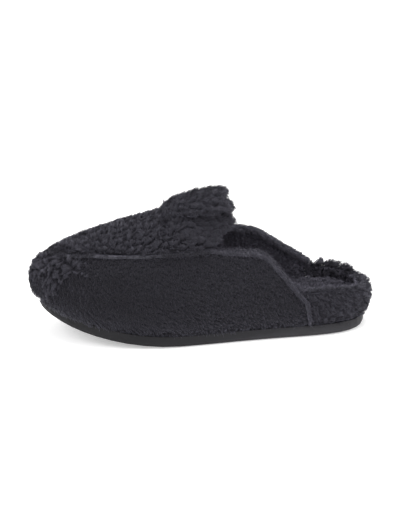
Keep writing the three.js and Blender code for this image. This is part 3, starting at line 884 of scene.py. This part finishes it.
FUR_PIECES = [
    # (CAD node, piece, lock, finish, pile, how it lies, seed, slot)
    ("apron_shell", "apron_fur", long_lock, long_fur, TUFTED, apron_pile, 11, "long_pile"),
    ("apron_shell", "apron_toe_fur", long_lock, toe_fur_painted_light, TUFTED, apron_toe_pile, 10, "long_pile"),
    ("tongue_shell", "tab_fur", laid_lock, long_fur, COMBED, tab_pile, 12, "long_pile"),
    ("tongue_cuff", "tab_cuff_fur", laid_lock, long_fur, COMBED, cuff_pile, 13, "long_pile"),
    ("heel_wrap", "heel_roll_fur", long_lock, heel_fur, TUFTED, heel_pile, 14, "long_pile"),
    ("heel_wrap", "heel_inner_fur", fleece_lock, inner_fur_painted_light, CURLED, heel_inner_pile, 22, "long_pile"),
    ("quarter_lateral", "quarter_fur_lateral", short_lock, short_fur, SMOOTH, quarter_pile, 15, "short_pile"),
    ("quarter_medial", "quarter_fur_medial", short_lock, short_fur, SMOOTH, quarter_pile, 16, "short_pile"),
    ("quarter_lateral", "toe_fur_lateral", long_lock, toe_fur_painted_light, TUFTED, toe_pile, 31, "long_pile"),
    ("quarter_medial", "toe_fur_medial", long_lock, toe_fur_painted_light, TUFTED, toe_pile, 32, "long_pile"),
    ("seam_piping_lateral", "seam_fur_lateral", short_lock, seam_fur, EDGED, seam_pile, 33, "long_pile"),
    ("seam_piping_medial", "seam_fur_medial", short_lock, seam_fur, EDGED, seam_pile, 34, "long_pile"),
    (
        "topline_binding_lateral", "topline_fur_lateral",
        short_lock, edge_fur_painted_light, EDGED, tape_pile, 35, "short_pile",
    ),
    (
        "topline_binding_medial", "topline_fur_medial",
        short_lock, edge_fur_painted_light, EDGED, tape_pile, 36, "short_pile",
    ),
    ("footbed_cover", "footbed_fur", fleece_lock, bed_fur, CURLED, fleece_pile, 17, "fleece_lining"),
    ("tongue_foam", "tab_edge_fur", short_lock, long_fur, EDGED, tape_pile, 37, "long_pile"),
    ("tongue_lining", "tab_lining_fur", fleece_lock, bed_fur, CURLED, fleece_pile, 18, "fleece_lining"),
    ("apron_lining", "apron_lining_fur", fleece_lock, bed_fur, CURLED, fleece_pile, 19, "fleece_lining"),
    (
        "quarter_lining_lateral", "quarter_lining_fur_lateral",
        fleece_lock, fleece_fur_painted_light, CURLED, side_lining_pile, 20, "fleece_lining",
    ),
    (
        "quarter_lining_medial", "quarter_lining_fur_medial",
        fleece_lock, fleece_fur_painted_light, CURLED, side_lining_pile, 21, "fleece_lining",
    ),
]

open_shares = {}
for node in dict.fromkeys(row[0] for row in FUR_PIECES):
    mesh = pieces[node].data
    places, normals = vertex_arrays(mesh)
    open_shares[node] = open_share(places, normals, around_tree, 7 * MM)
for node, share in open_shares.items():
    mesh = pieces[node].data
    places, normals = vertex_arrays(mesh)
    sink = PILE_SINK.get(pieces[node]["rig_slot"], 0)
    places -= normals * (share * sink)[:, None]
    mesh.vertices.foreach_set("co", places.astype(np.float32).ravel())
    mesh.update()

fur_on = {}
for node, name, lock, finish, pile, lie, seed, slot in FUR_PIECES:
    host = pieces[node]
    places, normals = vertex_arrays(host.data)
    grow, comb, length = lie(places, normals, open_shares[node].copy())
    made = plant(name, host, places, grow, comb, length, lock, finish, pile, seed, body_for(node), slot)
    fur_on.setdefault(node, []).append(made)

gusset = fold_band("fold_gusset", 1.9 * MM)
gusset.data.materials.append(finishes["pile"])
bend_at_fold(gusset)
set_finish(gusset, "long_pile")
fold_host = fold_band("fold_host", 1.2 * MM)
places, normals = vertex_arrays(fold_host.data)
near = np.abs((places - np.array(FOLD_POINT)) @ np.array(FOLD_WAY))
# Outward from a line that runs along the slipper inside the vamp.
out = (places[:, 2] - 40 * MM) * normals[:, 2] + places[:, 1] * normals[:, 1] > 0
grow = out * rise(FOLD_REACH, FOLD_REACH * 0.6, near)
comb = steady(places, (1.0, 0, 0.1))
length = 0.8 + 0.4 * rise(90 * MM, 97 * MM, places[:, 2])
fold_fur = plant(
    "fold_fur", fold_host, places, grow, comb, length, long_lock, long_fur, TUFTED, 41, "fold", "long_pile"
)
bpy.data.objects.remove(fold_host)

# ---------------------------------------------------------------- room

world = bpy.data.worlds.new("studio")
world.use_nodes = True
world.node_tree.nodes["Background"].inputs["Color"].default_value = (1, 1, 1, 1)
world.node_tree.nodes["Background"].inputs["Strength"].default_value = 1.0
bpy.context.scene.world = world
bpy.context.scene.view_settings.view_transform = "Standard"

table = bmesh.new()
bmesh.ops.create_grid(table, x_segments=1, y_segments=1, size=6)
floor_mesh = bpy.data.meshes.new("floor")
table.to_mesh(floor_mesh)
table.free()
floor = link("floor", floor_mesh)
floor_finish, floor_tree, floor_shader = new_finish("floor_paper", 0.9, 0.0, 0.0)
floor_shader.inputs["Base Color"].default_value = (0.8, 0.8, 0.8, 1)
floor_shader.inputs["Emission Color"].default_value = (1, 1, 1, 1)
floor_shader.inputs["Emission Strength"].default_value = 0.4
floor_mesh.materials.append(floor_finish)

soft_light("key_light", (-0.95, -0.85, 1.15), 0.9, 11)
soft_light("top_light", (0.1, 0.1, 1.6), 1.2, 30)
soft_light("fill_light", (0.9, -0.8, 0.7), 0.9, 4)
